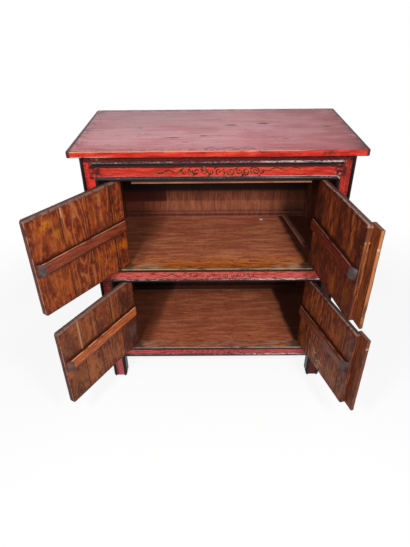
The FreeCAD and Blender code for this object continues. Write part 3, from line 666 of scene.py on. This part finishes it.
def front_frame_finish():
    """Glossy red fields and black beads: crests rubbed grey with painted highlights, dark specks where
    the red has gone, and a dark band under the top, painted shadow of its overhang as well as dirt.
    """
    x, y, z = begin("red_and_black_lacquer_front")
    side = add("Math", [x], operation="ABSOLUTE")
    cloud = noise((95, 95, 40), 3, 2)
    stroke = noise((46, 8, 4.5), 4, 3, 0.65)
    upright = noise((4.5, 8, 46), 4, 4, 0.65)
    post = where((side, 412, 430))
    stroke = add("Mix", {0: post, 2: stroke, 3: upright}, data_type="FLOAT")
    red = add("ValToRGB", [stroke], [
        (0.34, "#A42018"), (0.46, "#C43024"), (0.55, "#D24030"), (0.66, "#DE5C44")])
    speck = noise((4, 4, 3.2), 4, 5, 0.7)
    crackle = noise((9, 9, 6), 5, 6, 0.75)
    low = where((z, 700, 520))
    dusty = noise((34, 34, 6), 4, 7)
    red = coats(red, [
        ((cloud, 0.5, 0.7), 0.5, "#A8241C"),
        (low, (dusty, 0.36, 0.56), 0.6, "#E07C74"),
        (low, (dusty, 0.5, 0.36), 0.5, "#8E241C"),
        ((z, 240, 130), 0.42, "#D04C54"),
        ((x, 300, 420), (cloud, 0.3, 0.55), 0.45, "#8A1E14"),
        ((x, -418, -426), (z, 700, 820), 0.75, "#EE3A30"),
        ((x, -400, -420), (z, 260, 200), (dusty, 0.34, 0.42), 0.92, "#F27674"),
        ((x, 380, 420), (z, 240, 200), 0.8, "#4A140F"),
        ((side, 444, 454), (crackle, 0.42, 0.56), 0.75, "#3C1A16"),
        ((side, 410, 414), (side, 428, 420), (z, 900, 940), (crackle, 0.4, 0.54), 0.7, "#4A1612"),
        (post, (z, 440, 520), (z, 640, 580), (crackle, 0.3, 0.5), 0.8, "#3A0F0D"),
        ((x, -150, -100), (x, 190, 140), (z, 960, 975), 0.4, "#EE4A44"),
        ((x, 405, 412), (z, 430, 460), (z, 620, 600), 0.85, "#2A100D"),
        ((speck, 0.58, 0.66), 0.7, "#5A1812"),
        ((crackle, 0.58, 0.64), 0.65, "#4A1410"),
    ])
    # Painted shadow and dirt under the top; the lacquer gone at the corners; the beads' black over the red
    ragged = noise((16, 8, 8), 4, 31, 0.65)
    uneven = add("Math", [ragged, 6, z], operation="MULTIPLY_ADD")
    brown = coats("#1E0B0A", [((crackle, 0.52, 0.6), 0.8, "#7A1E18")])
    coarse = noise((16, 16, 13), 4, 33, 0.7)
    mottle = add("ValToRGB", [coarse], [
        (0.36, "#0E0C0B"), (0.46, "#2A1816"), (0.54, "#7A2620"), (0.6, "#B03A30"), (0.66, "#A8847C")])
    black = coats("#16110F", [((noise((40, 40, 12), 3, 11), 0.5, 0.8), 0.5, "#2C1D1A")])
    red = coats(red, [
        ((z, 1020, 1026), 0.9, brown),
        ((side, 446, 434), (uneven, 1003.5, 1006.5), (uneven, 1019, 1015), 0.92, black),
        ((side, 434, 424), (uneven, 969.5, 966.5), (uneven, 955, 960), 0.85, "#3A2A28"),
        ((side, 398, 412), (side, 452, 438), (z, 956, 966), (crackle, 0.3, 0.5), 0.92, mottle),
    ])
    rubbed = noise((9, 3, 3), 4, 13, 0.75)
    glint = noise((46, 5, 5), 4, 14, 0.6)
    # The lower bead's grey crest, with painted highlights, is carried in paint onto the red above it
    crest = coats("#5E4C4A", [
        ((glint, 0.42, 0.56), (rubbed, 0.44, 0.54), 0.85, "#B89A98"),
        ((x, 60, 160), (glint, 0.4, 0.5), 0.8, "#E8C4C4"),
    ])
    red = coats(red, [((z, 971.5, 969.5), (z, 950, 960), (side, 418, 410), 0.92, crest)])
    # Upward bead faces are rubbed grey and carry painted highlights, as do the pale lines on the sills
    upward_highlight_and_wear = where((work.up, 0.15, 0.45))
    bead = coats(black, [
        (upward_highlight_and_wear, (rubbed, 0.42, 0.54), 0.68, "#6E5C5A"),
        (upward_highlight_and_wear, (glint, 0.46, 0.58), (rubbed, 0.48, 0.56), 0.72, "#C8A4A0"),
        (upward_highlight_and_wear, (x, 110, 190), (glint, 0.42, 0.5), (rubbed, 0.42, 0.5), 0.8, "#F0CCC8"),
        ((crackle, 0.5, 0.56), (side, 200, 150), 0.7, "#4E1416"),
        (upward_highlight_and_wear, (x, -60, -10), (speck, 0.54, 0.6), 0.8, "#C8B2AA"),
        ((z, 579, 581), (z, 600, 590), 0.8, "#241C16"),
        ((z, 950, 955), (z, 980, 972), (side, 418, 410), 0.75, "#1C1412"),
        ((z, 164, 166), (z, 190, 175), 0.7, "#2C211B"),
        (line(z, 586.6, 1.6, 1), (glint, 0.36, 0.5), 0.85, "#D8B888"),
        (line(z, 170.6, 1.6, 1), (glint, 0.36, 0.5), 0.85, "#D0AE96"),
        ((rubbed, 0.6, 0.66), 0.75, "#5E1C18"),
    ])
    inside, _ = timber((x, y, z), "#200D08 #3E1C12 #54291A #6E3C26 #6E3C26", 9, 53, 0, 60)
    colour = coats(black, [
        ((work.back, -0.5, -0.9), (y, FIELD_Y + 0.5, FIELD_Y + 0.1), red),
        ((y, FIELD_Y - 0.1, FIELD_Y - 0.6), bead),
        ((work.up, 0.9, 0.97), (y, FIELD_Y, FIELD_Y + 1), sill_wood(x, y, z)),
        ((work.back, 0.5, 0.8), inside),
    ])
    return finish(colour, (rubbed, 0.25, 0.6), speck, 0.4, 0.14, coat=(0.05, 0.15))


def top_traces(x, y):
    """Arches of old paint, as coats. Each is a parabola y = crest - rise (x - middle)^2 / half^2."""
    arches = []
    for middle, half in TOP_TRACES:
        away = add("Math", [x, middle], operation="SUBTRACT")
        away = add("Math", [away, away], operation="MULTIPLY")
        course = add("Math", [away, TRACE_RISE / half**2, y], operation="MULTIPLY_ADD")
        span = where((x, middle - half - 4, middle - half), (x, middle + half + 4, middle + half))
        arches.append((span, line(course, TRACE_CREST, 3.2, 1.5), 0.9, "#5A3A2C"))
    return arches


def top_edge(x, z):
    """Bright red of the top's edge, chipped, and dark along its lower arris."""
    rim = noise((60, 30, 8), 4, 12)
    chips = noise((12, 6, 4), 4, 15, 0.65)
    red = add("ValToRGB", [rim], [(0.34, "#A8221C"), (0.5, "#CC3226"), (0.66, "#DC4C36")])
    return coats(red, [
        ((chips, 0.57, 0.63), 0.75, "#5C1A14"),
        ((z, 1054, 1050.5), (rim, 0.4, 0.55), 0.7, "#4A1410"),
        (line(x, 368, 34, 8), (chips, 0.4, 0.5), 0.7, "#5A2018"),
        ((x, -340, -400), (z, 1056, 1052.5), (chips, 0.4, 0.5), 0.85, "#D8A8A4"),
    ])


def top_finish():
    """Red lacquer on three elm planks: dulled and dusty on top, with painted sheen in pale clouds and a
    painted reflection as a pale haze towards the back left, bright on the edge, with a rubbed pale line
    along the front arris and short dark dents along the grain."""
    x, y, z = begin("dusty_red_lacquer_top")
    broad = noise((230, 15, 15), 5, 1, 0.6)
    thin = noise((80, 4.5, 4.5), 4, 2, 0.65)
    streak = add("Mix", {0: 0.35, 2: broad, 3: thin}, data_type="FLOAT")
    cloud = noise((170, 90, 90), 4, 3)
    ground = add("ValToRGB", [streak], [
        (0.38, "#E6868E"), (0.46, "#F49EA6"), (0.54, "#FAB4BA"), (0.63, "#FFD0D4")])
    right = where((x, 60, 470))
    dents = noise((30, 5, 5), 3, 6)
    scratch = noise((70, 2.6, 2.6), 3, 8)
    fine = noise((12, 3, 3), 4, 9, 0.7)
    rim_near = noise((24, 24, 24), 4, 22, 0.65)
    side = add("Math", [x], operation="ABSOLUTE")
    layers = [
        # Paler clouds are dust as well as painted sheen
        ((cloud, 0.44, 0.7), 0.6, "#FCC0C8"),
        ((cloud, 0.48, 0.34), 0.36, "#CC5A62"),
        # Painted reflection: pale haze towards the back left; the right half, without it, redder and
        # darker
        ((y, -170, 200), (x, 330, -380), 0.5, "#D0A4AA"),
        (right, 0.48, "#BE5058"),
        (right, (cloud, 0.7, 0.4), 0.5, "#9A343A"),
        ((y, -150, -260), 0.4, "#BC4C4C"),
        ((scratch, 0.62, 0.7), 0.4, "#E0A8A8"),
        ((dents, 0.66, 0.7), 0.7, "#5E2628"),
        ((fine, 0.6, 0.68), 0.3, "#7A3438"),
        ((side, 440, 496), (rim_near, 0.44, 0.6), 0.65, "#4A2424"),
        ((x, 400, 500), (y, -100, -270), 0.8, "#6A1E1C"),
        ((y, 205, 250), (rim_near, 0.4, 0.58), 0.6, "#5A3438"),
        ((y, -232, -262), (rim_near, 0.5, 0.62), 0.45, "#6A3028"),
        *((line(y, joint, 1.4, 1.8), (broad, 0.4, 0.54), 0.6, "#5A2A30") for joint in TOP_JOINTS),
    ]
    flat_on = add("CombineXYZ", [y, z, x])
    for number, dent in enumerate(TOP_DENTS):
        layers.append((spot(*dent, number, flat_on), 0.92, "#4A1616"))
    upper = coats(ground, layers + top_traces(x, y))
    rubbed = noise((26, 10, 10), 4, 19)
    colour = coats(top_edge(x, z), [
        ((work.up, 0.9, 0.985), upper),
        ((work.up, 0.3, 0.6), (work.up, 0.985, 0.92), (rubbed, 0.34, 0.44), (x, 330, 240), 0.9, "#D8AC84"),
        ((side, 488, 494), 0.88, "#38201E"),
        ((y, 246, 252), 0.82, "#422626"),
        ((work.up, -0.5, -0.9), "#2A1612"),
    ])
    height = add("Mix", {0: 0.5, 2: streak, 3: dents}, data_type="FLOAT")
    return finish(colour, (cloud, 0.3, 0.55), height, 0.6, 0.1, coat=(0.03, 0.3))


BARE_INSIDE = "#1C0A07 #3C180E #562414 #743620 #7A3A22"


def outward(x):
    """The faces that look away from the case's middle plane, left and right."""
    sign = add("Math", [x], operation="SIGN")
    return where((add("Math", [sign, work.right], operation="MULTIPLY"), 0.4, 0.8))


def case_finish():
    """Side and rear frames: thin black lacquer outside, bare oiled wood inside."""
    x, y, z = begin("black_lacquer_case")
    outside = add("Math", [outward(x), where((work.back, 0.4, 0.8))], operation="MAXIMUM")
    inside, height = timber((x, y, z), BARE_INSIDE, 10, 61, 0, 60)
    wear = noise((18, 18, 30), 5, 4, 0.65)
    cloud = noise((90, 90, 140), 3, 8)
    black = add("ValToRGB", [cloud], [(0.3, "#171110"), (0.6, "#241A17"), (0.8, "#33231E")])
    black = coats(black, [((wear, 0.6, 0.68), 0.7, "#6A3424")])
    return finish(coats(inside, [(outside, black)]), (wear, 0.3, 0.6), height, 0.3, specular=0.4)


def panel_finish():
    """Side panels: thin red lacquer outside over long-grained wood, bare wood inside."""
    x, y, z = begin("thin_red_lacquer_panel")
    inside, height = timber((y, x, z), BARE_INSIDE, 10, 71, 0, 60)
    cloud = noise((120, 90, 160), 3, 6)
    red = add("ValToRGB", [cloud], [(0.3, "#7E1B16"), (0.5, "#A5261E"), (0.7, "#B8362A")])
    wear = noise((14, 8, 30), 5, 9, 0.65)
    red = coats(red, [((wear, 0.58, 0.68), 0.7, "#3E1812")])
    return finish(coats(inside, [(outward(x), red)]), 0.42, height, 0.4, specular=0.4)


def shelf_finish():
    """Shelf boards: oiled pine with the grain along X, rubbed orange along the front, with painted
    shadow towards the sides, a painted lit streak on the upper shelf's right and a painted
    white fleck of light near the back."""
    x, y, z = begin("oiled_pine_shelf")
    colour, height = timber((y, z, x), "#8E422E #BC6444 #D47A54 #E89A70 #E0905E", 26, 81, 40, 90, 0.25)
    front = (y, -130, -195)
    dusty = noise((130, 22, 22), 4, 3)
    orange = noise((46, 9, 9), 3, 6)
    marks = noise((20, 4, 4), 3, 10)
    ragged = noise((60, 60, 60), 3, 12)
    inward = add("Math", [y, 0.13, x], operation="MULTIPLY_ADD")
    shadow_edge_right = add("Math", [ragged, 24, inward], operation="MULTIPLY_ADD")
    inward = add("Math", [y, -0.2, x], operation="MULTIPLY_ADD")
    shadow_edge_left = add("Math", [ragged, -24, inward], operation="MULTIPLY_ADD")
    lit_streak = add("Math", [y, 0.172, x], operation="MULTIPLY_ADD")
    on_upper, on_lower = (z, 520, 540), (z, 540, 520)
    colour = coats(colour, [
        ((dusty, 0.46, 0.58), 0.5, "#98523A"),
        ((dusty, 0.46, 0.36), 0.3, "#E4A078"),
        (on_lower, 0.16, "#7A340C"),
        (front, on_upper, (orange, 0.38, 0.56), 0.8, "#E07C2A"),
        (front, on_lower, (orange, 0.38, 0.56), 0.6, "#C8744A"),
        (front, (orange, 0.46, 0.38), 0.75, "#8A2C12"),
        ((marks, 0.6, 0.66), 0.6, "#6A2C18"),
        ((y, 208, 214), 0.7, "#CC9C88"),
        # Painted shadow towards the left and right sides of the shelves
        ((shadow_edge_left, -255, -300), 0.4, "#5A2C1E"),
        ((shadow_edge_left, -255, -300), on_lower, 0.4, "#3A1810"),
        ((shadow_edge_right, 325, 350), 0.93, "#34150E"),
        # Painted light: a lit streak between two shadows on the upper shelf's right
        (on_upper, line(lit_streak, 368, 16, 5), (y, -90, -30), (ragged, 0.36, 0.5), 0.75, "#96604E"),
        (on_upper, line(lit_streak, 360, 2, 1.5), (y, -90, -30), 0.7, "#E09A80"),
        # Painted light: a small white fleck near the back
        (on_upper, line(x, 216, 11, 2), line(y, 180, 13, 2), "#FFFFFF"),
    ])
    return finish(colour, 0.6, height, 0.35, specular=0.3)


def back_finish():
    """Back boards and their rails: dry pine with upright grain, with painted shade under the rails,
    in the corners and towards the sides, and a lighter painted band across.
    """
    x, y, z = begin("dry_pine_back")
    colour, height = timber((x, y, z), "#66301F #844630 #A05A40 #BC7452 #B8704E", 32, 91, 60, 170, 0.34)
    ragged = noise((40, 40, 60), 4, 5, 0.6)
    side = add("Math", [x], operation="ABSOLUTE")
    # Besides board tones and joints, painted light and shade: rail shadows, a lit band, shaded corners
    front = coats(colour, [
        ((ragged, 0.5, 0.66), 0.4, "#A8684C"),
        ((z, 658, 668), 0.3, "#4A2018"),
        ((z, 668, 658), 0.14, "#C88058"),
        ((z, 655, 668), (x, -224, -230), 0.93, "#260F0A"),
        ((z, 680, 610), (x, 290, 350), (ragged, 0.36, 0.54), 0.85, "#0E0808"),
        ((z, 632, 602), 0.4, "#6A3A38"),
        (line(z, 596, 6, 4), 0.65, "#2A1212"),
        ((side, 290, 350), 0.6, "#3E1C14"),
        ((x, 230, 280), 0.25, "#4A1A10"),
        ((x, -222, -230), 0.3, "#6A1E0C"),
        ((z, 704, 722), 0.95, "#100605"),
        ((z, 560, 470), 0.75, "#2A120C"),
        ((z, 560, 470), (x, -200, -230), 0.9, "#080403"),
        *((line(x, joint, 1.5, 1.5), 0.4, "#2A120C") for joint in BACK_JOINTS),
    ])
    stain = noise((90, 90, 200), 4, 7)
    rear = coats(colour, [(0.55, "#2E1812"), ((stain, 0.4, 0.62), 0.7, "#1E100C")])
    return finish(coats(front, [((work.back, 0.1, 0.5), rear)]), 0.65, height, 0.5, specular=0.25)


def hidden_finish():
    """Bearers and battens: sawn pine, left dry."""
    x, y, z = begin("sawn_pine_bearers")
    colour, height = timber((x, z, y), "#5A3A24 #80573A #967050 #AC8A68 #B89474", 8, 95, 0, 40)
    return finish(colour, 0.75, height, 0.5)


def stop_finish():
    """Pale strip that the upper doors close against, less handled than the rest, painted dark along
    its top with the shadow under the top rail.
    """
    x, y, z = begin("pale_pine_stop")
    colour, height = timber((y, z, x), "#62301E #8A4C2A #A46038 #B07650 #B87C54", 6, 97, 0, 20)
    # Above this height the stop is painted dark, the shadow under the top rail
    colour = coats(colour, [((z, *STOP_SHADOW), 0.9, "#1A0D08")])
    return finish(colour, 0.6, height, 0.2)


def scroll_finish():
    """Thin line of olive and gold paint, brushed over the red and dulled by age."""
    z = begin("olive_and_gold_paint")[2]
    patch = noise((9, 9, 9), 3, 2)
    colour = add("ValToRGB", [patch], [
        (0.4, "#17160A"), (0.52, "#2C3010"), (0.62, "#544C1A"), (0.7, "#94822F")])
    colour = coats(colour, [((z, 700, 560), 0.4, "#4A201A")])
    return finish(colour, 0.5, patch, 0.1, specular=0.15)


# Pieces

WORN = {  # where the wood has been knocked: board, then place up, face, side, depth, reach
    "upper_left": {
        1: ((361, 1, 0, 2, 6),),
        3: ((40, 1, 1, 2.5, 14), (150, 1, 1, 1.5, 30), (330, 1, 1, 2, 12)),
    },
    "lower_left": {3: ((60, 1, 1, 2, 20), (300, 1, 1, 2.2, 16)), 2: ((349, 1, 1, 2, 6),)},
    "upper_right": {3: ((300, 1, 1, 2, 18), (120, 1, 1, 1.2, 40)), 0: ((362, 1, 1, 2.4, 7),)},
    "lower_right": {3: ((90, 1, 1, 1.6, 26),), 1: ((349, 1, 0, 2, 6),)},
}
WORN_ENDS = {  # how the top end of the inner face is worn down: run, drop
    "upper_left": (11, 4), "lower_left": (10, 3.4), "upper_right": (6, 1.8), "lower_right": (7, 1.8),
}
SHRUNK = {"upper_right": ((0, 1), 3), "lower_left": ((0,), 1.2)}  # shrunk boards, by how much
STRIP_NICKS = ((300, 1, 1, 2.4, 8), (336, 1, 1, 2, 7), (180, 1, 1, 1.5, 16), (60, 0, 1, 2, 12))
DOOR_CORNER = 10  # radius of a door's free corners


def door_pieces(door):
    """Boards, batten and strip of one door, shut and then swung open."""
    level, side = door.split("_")
    body = door + "_door"
    inside_out = side == "right"
    z0, z1 = DOOR_HEIGHTS[level]
    seed = DOORS.index(door) * 40
    joints = door_joints(door)
    for number, name in enumerate(BOARDS):
        first, last = name == BOARDS[0], name == BOARDS[-1]
        start = joints[number] + (not first) * JOINT_GAP
        end = joints[number + 1] - (not last) * JOINT_GAP
        shrunk, loss = SHRUNK.get(door, ((), 0))
        length = z1 - z0 - (loss if number in shrunk else 0)
        outer = (HINGE_ARRIS if first else 0.8, 2 if last else 0.8)
        inner = (HINGE_ARRIS if first else 1, 3 if last else 1)
        along, across, deep = board(
            length, end - start, 2 * HALF_DOOR, (outer, inner), 2, seed + number,
            (0, DOOR_CORNER * last), WORN[door].get(number, ()), WORN_ENDS[door])
        points = stand_open(door, start + across, deep - HALF_DOOR, z0 + along)
        solids = [loft(points, inside_out)]
        if first:
            below, above = PIN_REACH
            for low, high in ((-below, PIN_ROOT), (length - PIN_ROOT, z1 - z0 + above)):
                up, peg_x, peg_y = turned(low, high, z0)
                solids.append(loft(stand_open(door, peg_x, peg_y, up), inside_out))
        node, material = f"{door}_{name}", door_board_finish(door, number)
        make(node + "_planed", solids, material, body, "door_boards", node)
    node, material = f"{door}_batten", door_batten_finish(door)
    solids = [loft(batten_rings(door, seed), inside_out)]
    make(node + "_shaped", solids, material, body, "door_battens", node)
    if side == "right":
        x0, x1 = STRIP_SPAN
        y0, y1 = STRIP_FACES
        along, across, deep = board(
            z1 - z0, x1 - x0, y1 - y0, ((3, 4), (0.6, 1.4)), 1.5, seed + 9, nicks=STRIP_NICKS)
        points = stand_open(door, x0 + across, y0 + deep, z0 + along)
        node, material = f"{door}_meeting_strip", strip_finish(door)
        make(node + "_worn", [loft(points, inside_out)], material, body, "meeting_strips", node)


def batten_rings(door, seed):
    """Batten's section, bevelled above and below, carried across the door. At station s a
    point at projection p lies at x = x0 + h p + s(x1 - x0 - (h + f) p), with h and f the slopes
    of the hinge end and the free end. The section's corners go from sharp to worn with a ripple."""
    start, end = DOOR_EDGES[door.split("_")[1]]
    x0, x1 = start + BATTEN_INSET, end - BATTEN_INSET
    middle = BATTEN_MIDDLES[door.split("_")[0]]
    root, shoulder, crest = HALF_DOOR - 1, HALF_DOOR + 12, HALF_DOOR + 17
    corners = [(root, -23), (shoulder, -23), (crest, -14), (crest, 14), (shoulder, 23), (root, 23)]
    sharp, worn = eased(corners, 0.6), eased(corners, 2.6)
    share = np.concatenate([[0, 0.003], np.linspace(0.01, 0.99, 60), [0.997, 1]])
    blunt = np.clip(np.maximum(1 - share / 0.01, 1 - (1 - share) / 0.01), 0, 1)[:, None]
    blend = 0.3 + 0.12 * ripple(share * (x1 - x0), 0, 70, seed + 30)[:, None, None]
    section = sharp + blend * (worn - sharp)
    y, up = section[..., 0], section[..., 1] * (1 - 0.04 * blunt)
    y = y - 0.8 * blunt * (y > HALF_DOOR + 2)
    up = up + 0.25 * ripple(share[:, None] * (x1 - x0), up, 220, seed + 31)
    projection = np.clip(y - HALF_DOOR, 0, None)
    hinge, free = BATTEN_SLOPES
    x = x0 + hinge * projection + share[:, None] * (x1 - x0 - (hinge + free) * projection)
    return stand_open(door, x, y, middle + up)


def top_planks():
    """Three planks of the top, with worn arrises and the front one's long edge knocked. Sawn a
    little out of square: the ends run out evenly by the flare from the back to the front."""
    spans = (TOP_EDGES[0], *TOP_JOINTS, TOP_EDGES[1])
    low, high = TOP_FACES
    arris, joint, gap, corner = 3, 0.8, 0.15, 9
    material = top_finish()
    for number, name in enumerate(("front", "middle", "rear")):
        first, last = number == 0, number == 2
        arrises = (arris if first else joint, arris if last else joint)
        start = spans[number] + (not first) * gap
        end = spans[number + 1] - (not last) * gap
        along, across, deep = board(
            2 * TOP_REACH, end - start, high - low, (arrises, arrises), 3, 200 + number,
            (corner * first, corner * last), TOP_NICKS if first else ())
        flare = np.clip((spans[-1] - start - across) / (spans[-1] - spans[0]), 0, 1)
        along = along - TOP_REACH
        run_out = flare * np.where(along < 0, -TOP_FLARE[0], TOP_FLARE[1])
        along = along + run_out * np.abs(along) / TOP_REACH
        points = np.stack([along, start + across, low + deep], -1)
        node = f"top_{name}_board"
        make(node + "_planed", [loft(points)], material, "cabinet", "lacquered_top", node)


# Painted scrolls on the rails. A vine and a row of curls, the common ornament of such fronts.

def vine(x0, x1, middle, swing, period, lead=0):
    """Points of a wave z = middle - swing sin(tau (x - x0) / period + lead)."""
    x = np.linspace(x0, x1, 60)
    return np.stack([x, middle - swing * np.sin(math.tau * (x - x0) / period + lead)], -1)


def curl(x, z, radius, turns, start):
    """Points of a spiral whose radius shrinks evenly to a fifth over its turns."""
    share = np.linspace(0, 1, 60)
    angle = start + turns * math.tau * share
    reach = radius * (1 - 0.8 * share)
    return np.stack([x + reach * np.cos(angle), z + reach * np.sin(angle)], -1)


def brushed(line_points, width, seed):
    """A brush stroke laid on the field: a flat section carried along the line, its width
    tapering as the root of sin(pi s) and wavering with a ripple. It stands 0.2 mm proud."""
    share = np.linspace(0, 1, len(line_points))
    ahead = np.gradient(line_points, axis=0)
    ahead /= np.linalg.norm(ahead, axis=1, keepdims=True)
    beside = np.stack([-ahead[:, 1], ahead[:, 0]], -1)
    half = width / 2 * (0.25 + 0.75 * np.sqrt(np.sin(math.pi * share)))
    half = half * (1 + 0.3 * ripple(share * 60, 0, 15, seed))
    sunk, proud = FIELD_Y + 0.3, FIELD_Y - 0.2
    rings = []
    for across, y in ((-1, sunk), (1, sunk), (1, proud), (-1, proud)):
        flat = line_points + beside * (half * across)[:, None]
        rings.append(np.stack([flat[:, 0], np.full(len(flat), y), flat[:, 1]], -1))
    return loft(np.stack(rings, 1))


def scroll_row(name, material, shift, z, size, width, seed, rubbing):
    """Tail, curls and thin vine of one rail, with stretches rubbed away."""
    draw = np.random.default_rng(seed)
    start, lift, end = SCROLL_TAIL
    tail = vine(start + shift, end + shift, z, 5.5 * size, 58, -0.54)
    tail[:, 1] += np.clip(tail[:, 0] - (lift + shift), 0, None) * 0.36 * size
    start, end = SCROLL_VINE
    strokes = [tail, vine(start + shift, end + shift, z + 7 * size, 6 * size, 65, -0.32)]
    for x, radius, turns, first in SCROLL_CURLS:
        strokes.append(curl(x + shift, z + draw.uniform(-2, 2), radius * size, turns, first))
    for x, up, span, bend in SCROLL_LEAVES:
        strokes.append(vine(x + shift, x + span + shift, z + up * size, 5 * size, span * 1.5, bend))
    widths = [1.15, 0.65] + [1] * (len(strokes) - 2)
    solids = []
    for number, (stroke, share) in enumerate(zip(strokes, widths)):
        cut = int(draw.uniform(0.4, 0.8) * len(stroke))
        gap = int(draw.uniform(0, 3) * rubbing) if number else 0
        for part in (stroke[:cut], stroke[cut + gap:]):
            if len(part) > 5:
                solids.append(brushed(part, width * share, seed + number))
    make(name, solids, material, "cabinet", "lacquered_front_frame")


def dress(node, material):
    for slot in nodes[node].material_slots:
        slot.material = material


for door in DOORS:
    door_pieces(door)
top_planks()
paint_line = scroll_finish()
scroll_row("upper_rail_scrolls", paint_line, 0, 987.5, 1, 4.8, 3, 1)
scroll_row("middle_rail_scrolls", paint_line, -10, 556, 0.75, 2.8, 5, 5)
scroll_row("lower_rail_scrolls", paint_line, -37, 145, 0.6, 2.4, 9, 6)

front, case, panel = front_frame_finish(), case_finish(), panel_finish()
shelf, back, hidden, stop = shelf_finish(), back_finish(), hidden_finish(), stop_finish()
for name in nodes:
    if name.startswith("front_"):
        dress(name, front)
    elif name.endswith("_panel"):
        dress(name, panel)
    elif "shelf" in name and name.endswith("board"):
        dress(name, shelf)
    elif name.startswith("back_") or name.endswith("back_boards"):
        dress(name, back)
    elif name.endswith(("bearers", "top_battens")):
        dress(name, hidden)
    elif name == "door_stop":
        dress(name, stop)
    elif not name.startswith(("top_", *DOORS)):
        dress(name, case)


# Floor, light and camera

FOCAL = 456.1 / 547  # of the photograph's lens, as a share of its longer side
EYE = (-0.0368, -1.7409, 1.5721)  # a standing person's eye height
LOOK_DOWN, PAN, ROLL = -33.9, 0.4, 0.6  # degrees
AIM = (0, -0.2, 0.6)


def camera_sees():
    """1 for rays from the camera, from gloss and through glass."""
    path = add("LightPath")
    seen = path.outputs["Is Camera Ray"]
    for ray in ("Is Glossy Ray", "Is Transmission Ray"):
        seen = add("Math", [seen, path.outputs[ray]], operation="MAXIMUM")
    return seen


def stage_floor():
    """Plain pale floor. The camera sees it as white, apart from the cabinet's soft shadow."""
    mesh = bpy.data.meshes.new("floor")
    reach = 12
    corners = [(-reach, -reach, 0), (reach, -reach, 0), (reach, reach, 0), (-reach, reach, 0)]
    mesh.from_pydata(corners, [], [(0, 1, 2, 3)])
    begin("pale_floor")
    plain = add("BsdfDiffuse", {"Color": "#D0D0D0"})
    dim = add("BsdfDiffuse", {"Color": "#7A7A7A"})
    glow = add("Emission", {"Color": "#FFFFFF", "Strength": 0.86})
    near = add("AddShader", [dim, glow])
    white = add("Emission", {"Color": "#FFFFFF", "Strength": 1})
    far = add("VectorMath", [work.place], operation="LENGTH").outputs["Value"]
    bright = add("MixShader", [where((far, 1000, 1900)), near, white])
    surface = add("MixShader", [camera_sees(), plain, bright])
    add("OutputMaterial", {"Surface": surface})
    mesh.materials.append(work.material)
    link("floor", mesh)


def stage_world():
    world = bpy.data.worlds.new("studio")
    bpy.context.scene.world = world
    world.use_nodes = True
    work.tree = world.node_tree
    work.tree.nodes.clear()
    soft = add("Background", {"Color": "#FFFFFF", "Strength": 0.21})
    white = add("Background", {"Color": "#FFFFFF", "Strength": 1})
    add("OutputWorld", {"Surface": add("MixShader", [camera_sees(), soft, white])})


def stage_lamp(name, at):
    data = bpy.data.lights.new(name, "AREA")
    data.shape = "SQUARE"
    data.size = 0.3
    data.energy = 17
    lamp = link(name, data)
    lamp.location = at
    lamp.rotation_euler = (Vector(AIM) - Vector(at)).to_track_quat("-Z", "Y").to_euler()


def stage_camera():
    """Camera at the photograph's place, looking down."""
    data = bpy.data.cameras.new("camera")
    data.sensor_width = 36
    data.lens = FOCAL * data.sensor_width
    data.clip_end = 60
    camera = link("camera", data)
    turn = Matrix.Identity(3)
    for degrees, axis in ((PAN, "Z"), (LOOK_DOWN, "X"), (ROLL, "Y")):
        turn = turn @ Matrix.Rotation(math.radians(degrees), 3, axis)
    right, ahead, up = turn.col
    matrix = Matrix((right, up, -ahead)).transposed().to_4x4()
    matrix.translation = EYE
    camera.matrix_world = matrix
    bpy.context.scene.camera = camera


stage_floor()
stage_world()
stage_lamp("soft_lamp_left", (-0.66, -1.75, 1.74))
stage_lamp("soft_lamp_right", (0.66, -1.75, 1.74))
stage_camera()
bpy.context.scene.view_settings.view_transform = "Standard"
